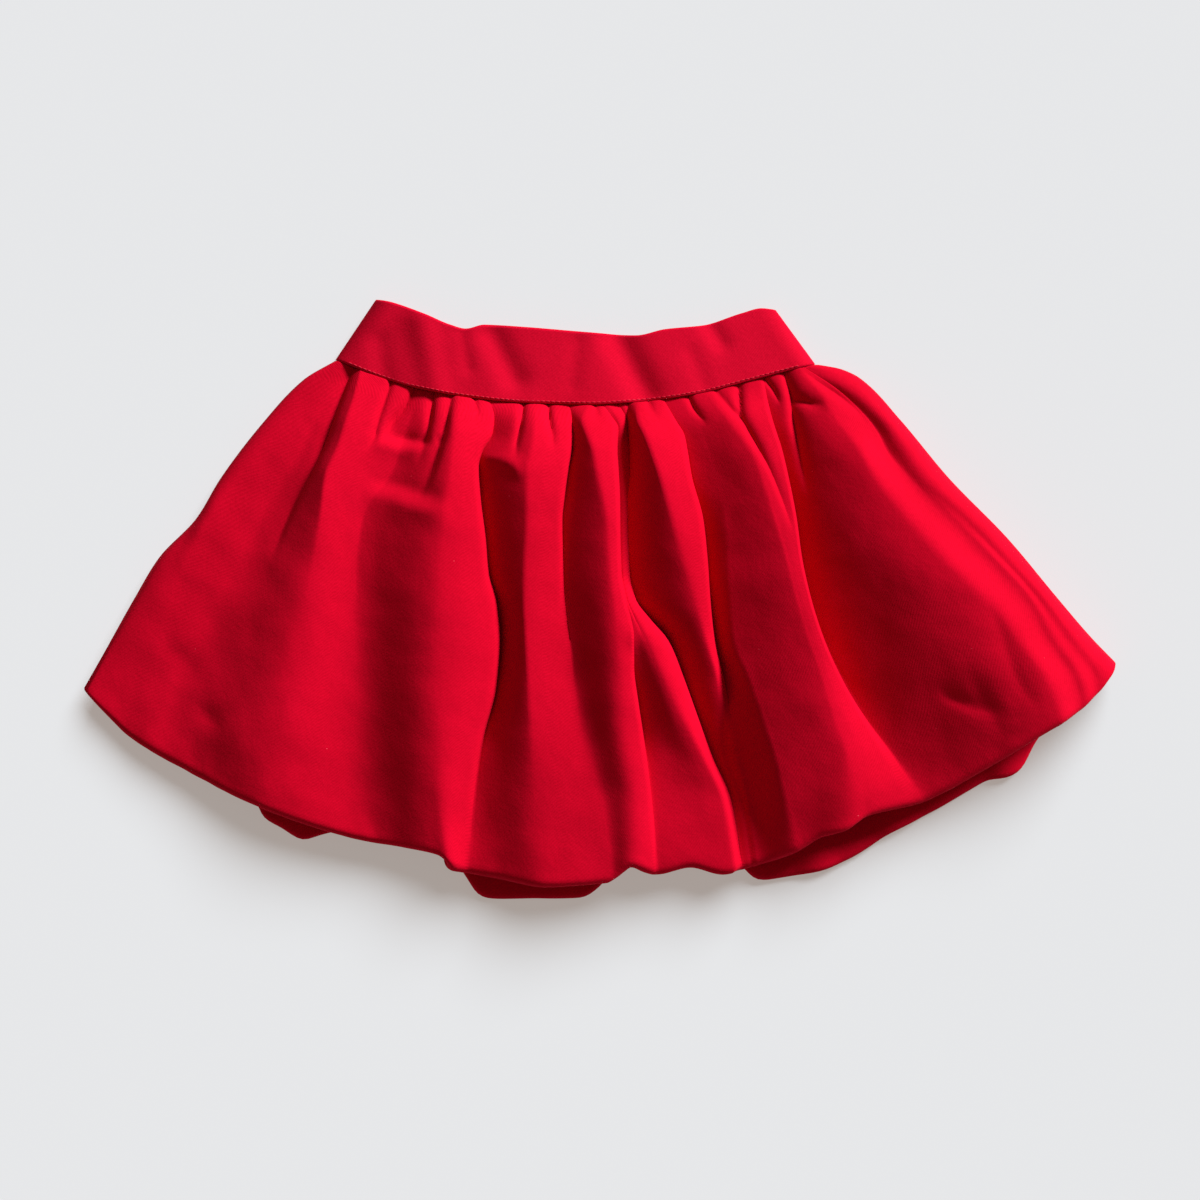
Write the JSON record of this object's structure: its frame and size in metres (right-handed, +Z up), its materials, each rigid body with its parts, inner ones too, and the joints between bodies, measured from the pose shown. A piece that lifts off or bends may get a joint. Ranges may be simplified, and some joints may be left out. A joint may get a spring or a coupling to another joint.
{
  "type": "balloon skirt",
  "caption": "Toddler's gathered balloon skirt in red cotton twill with a plain waistband, laid flat on its back, its hem rolled under all round.",
  "frame": {"origin": "middle of the skirt's outline, on the surface it lies on", "axes": "+X across the skirt to the picture's right, +Y towards the waistband, +Z up from the surface"},
  "size_m": [0.5084, 0.297, 0.0362],
  "materials": {
    "band_twill": "brushed matt cotton twill, folded double and topstitched in the same red",
    "skirt_twill": "brushed matt cotton twill with a short soft nap"
  },
  "bodies": {
    "root": {"waistband_front": "band_twill", "waistband_back": "band_twill", "shell_front": "skirt_twill", "shell_back": "skirt_twill"}
  },
  "joints": []
}
